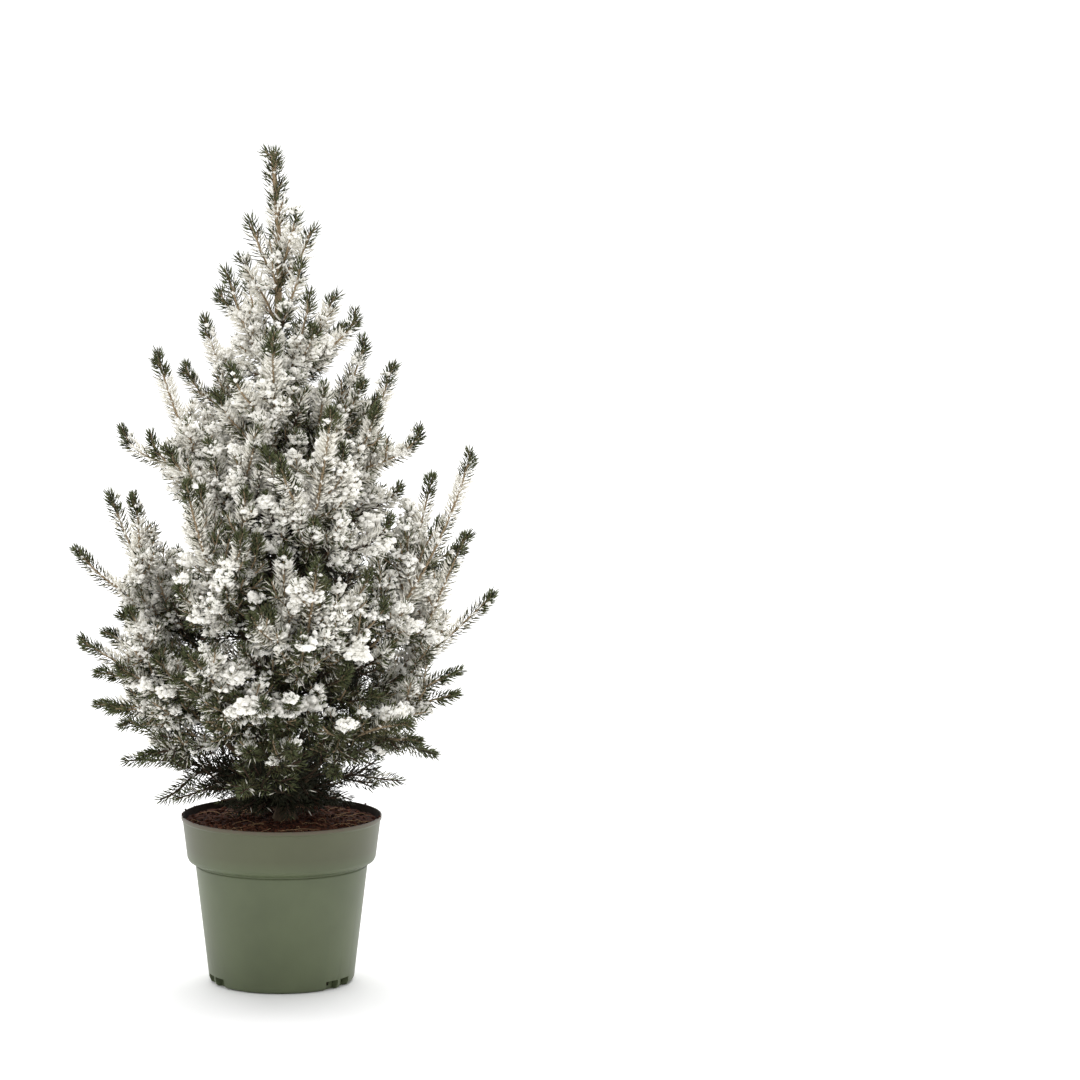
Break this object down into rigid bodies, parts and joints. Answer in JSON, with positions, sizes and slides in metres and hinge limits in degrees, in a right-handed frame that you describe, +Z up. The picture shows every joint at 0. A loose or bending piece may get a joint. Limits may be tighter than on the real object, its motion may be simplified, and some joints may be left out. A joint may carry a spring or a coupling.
{
  "type": "potted dwarf white spruce",
  "caption": "Young conical dwarf spruce dusted with snow, rooted in soil in a round tapered plastic nursery pot with a broad collar.",
  "frame": {"origin": "on the pot's axis, at the flat underside that the pot stands on", "axes": "+Z up along the pot's axis and the trunk, -Y towards the side seen in the picture, +X to the right in that view"},
  "size_m": [0.4042, 0.3412, 0.7918],
  "materials": {
    "pot": "matt sage green polypropylene with a faint moulded texture",
    "soil": "moist dark red-brown peat, bark chips and coir",
    "bark": "thin orange-brown bark with small pegs and fine cracks",
    "foliage": "grey-green needles frosted with matt white snow"
  },
  "bodies": {
    "root": {"bough_01": "bark", "bough_02": "bark", "bough_03": "bark", "bough_04": "bark", "bough_05": "bark", "bough_06": "bark", "bough_07": "bark", "bough_08": "bark", "bough_09": "bark", "bough_10": "bark", "bough_11": "bark", "bough_12": "bark", "bough_13": "bark", "bough_14": "bark", "bough_15": "bark", "bough_16": "bark", "bough_17": "bark", "bough_18": "bark", "bough_19": "bark", "bough_20": "bark", "foliage_01": "foliage", "foliage_02": "foliage", "foliage_03": "foliage", "foliage_04": "foliage", "foliage_05": "foliage", "foliage_06": "foliage", "foliage_07": "foliage", "foliage_08": "foliage", "foliage_09": "foliage", "foliage_10": "foliage", "foliage_11": "foliage", "foliage_12": "foliage", "foliage_13": "foliage", "foliage_14": "foliage", "foliage_15": "foliage", "foliage_16": "foliage", "foliage_17": "foliage", "foliage_18": "foliage", "foliage_19": "foliage", "foliage_20": "foliage", "foliage_foot_1": "foliage", "foliage_foot_2": "foliage", "foliage_leader": "foliage", "foliage_upper_01": "foliage", "foliage_upper_02": "foliage", "foliage_upper_03": "foliage", "foliage_upper_04": "foliage", "foliage_upper_05": "foliage", "foliage_upper_06": "foliage", "foliage_upper_07": "foliage", "foliage_upper_08": "foliage", "foliage_upper_09": "foliage", "foliage_upper_10": "foliage", "foliage_upper_11": "foliage", "foliage_upper_12": "foliage", "foliage_upper_13": "foliage", "foliage_upper_14": "foliage", "pot": "pot", "soil": "soil", "trunk": "bark"}
  },
  "joints": []
}
